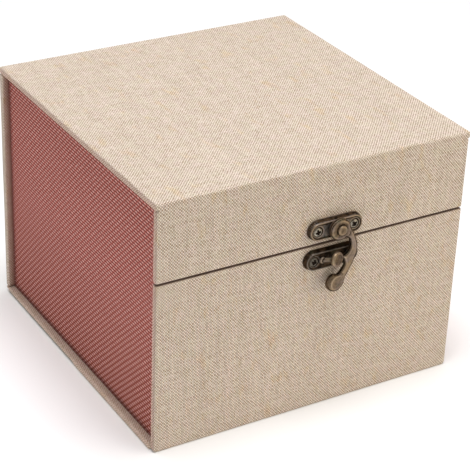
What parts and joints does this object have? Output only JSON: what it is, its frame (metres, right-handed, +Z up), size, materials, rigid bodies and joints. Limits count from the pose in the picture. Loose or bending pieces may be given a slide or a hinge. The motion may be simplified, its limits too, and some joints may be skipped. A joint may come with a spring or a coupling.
{
  "type": "doll head storage box",
  "caption": "Cloth-covered board box with a hinged lid and front flap, a swing hook latch, red woven sides and a padded round well for a doll's head.",
  "frame": {"origin": "middle of the underside, where the box rests on a table", "axes": "+Z up, the latch faces -Y, +X to the right of someone facing the latch"},
  "size_m": [0.16, 0.1668, 0.1235],
  "materials": {
    "greyboard": "matt",
    "linen": "natural plain-woven linen",
    "red_cloth": "brick red twill flecked with pink",
    "lining": "smooth ivory cotton",
    "plush": "soft ivory plush over foam",
    "bronze": "antique bronze, worn at the rims",
    "screw_steel": "dull grey"
  },
  "bodies": {
    "case": {"base_board": "greyboard", "base_cloth": "linen", "back_board": "greyboard", "back_cloth": "linen", "front_board": "greyboard", "front_cloth": "linen", "base_fold_cloth": "linen", "tray_left_wall": "greyboard", "tray_left_cloth": "red_cloth", "left_lining": "lining", "tray_right_wall": "greyboard", "tray_right_cloth": "red_cloth", "right_lining": "lining", "tray_front_wall": "greyboard", "tray_front_cloth": "red_cloth", "front_lining": "lining", "tray_back_wall": "greyboard", "tray_back_cloth": "red_cloth", "back_lining": "lining", "tray_floor": "greyboard", "floor_lining": "lining", "foam_insert": "plush", "catch_plate": "bronze", "catch_stud": "bronze", "catch_screw_left": "screw_steel", "catch_screw_right": "screw_steel"},
    "lid": {"lid_board": "greyboard", "lid_cloth": "linen", "lid_lining": "lining", "lid_pad": "plush", "lid_hinge_cloth": "linen"},
    "flap": {"flap_board": "greyboard", "flap_cloth": "linen", "flap_lining": "lining", "flap_fold_cloth": "linen", "hook_plate": "bronze", "hook_screw_left": "screw_steel", "hook_screw_right": "screw_steel", "pivot_rivet": "bronze"},
    "hook": {"swing_hook": "bronze"}
  },
  "joints": [
    {"name": "lid_hinge", "type": "hinge", "parent": "case", "child": "lid", "pos_m": [0, 0.0796, 0.12022], "axis": [-1, 0, 0], "range_deg": [0, 180], "deforming": ["lid_hinge_cloth"]},
    {"name": "flap_fold", "type": "hinge", "parent": "lid", "child": "flap", "pos_m": [0, -0.0796, 0.12022], "axis": [-1, 0, 0], "range_deg": [0, 90], "deforming": ["flap_fold_cloth"]},
    {"name": "hook_swing", "type": "hinge", "parent": "flap", "child": "hook", "pos_m": [0.0093, -0.0837, 0.0931], "axis": [0, -1, 0], "range_deg": [0, 100]}
  ]
}
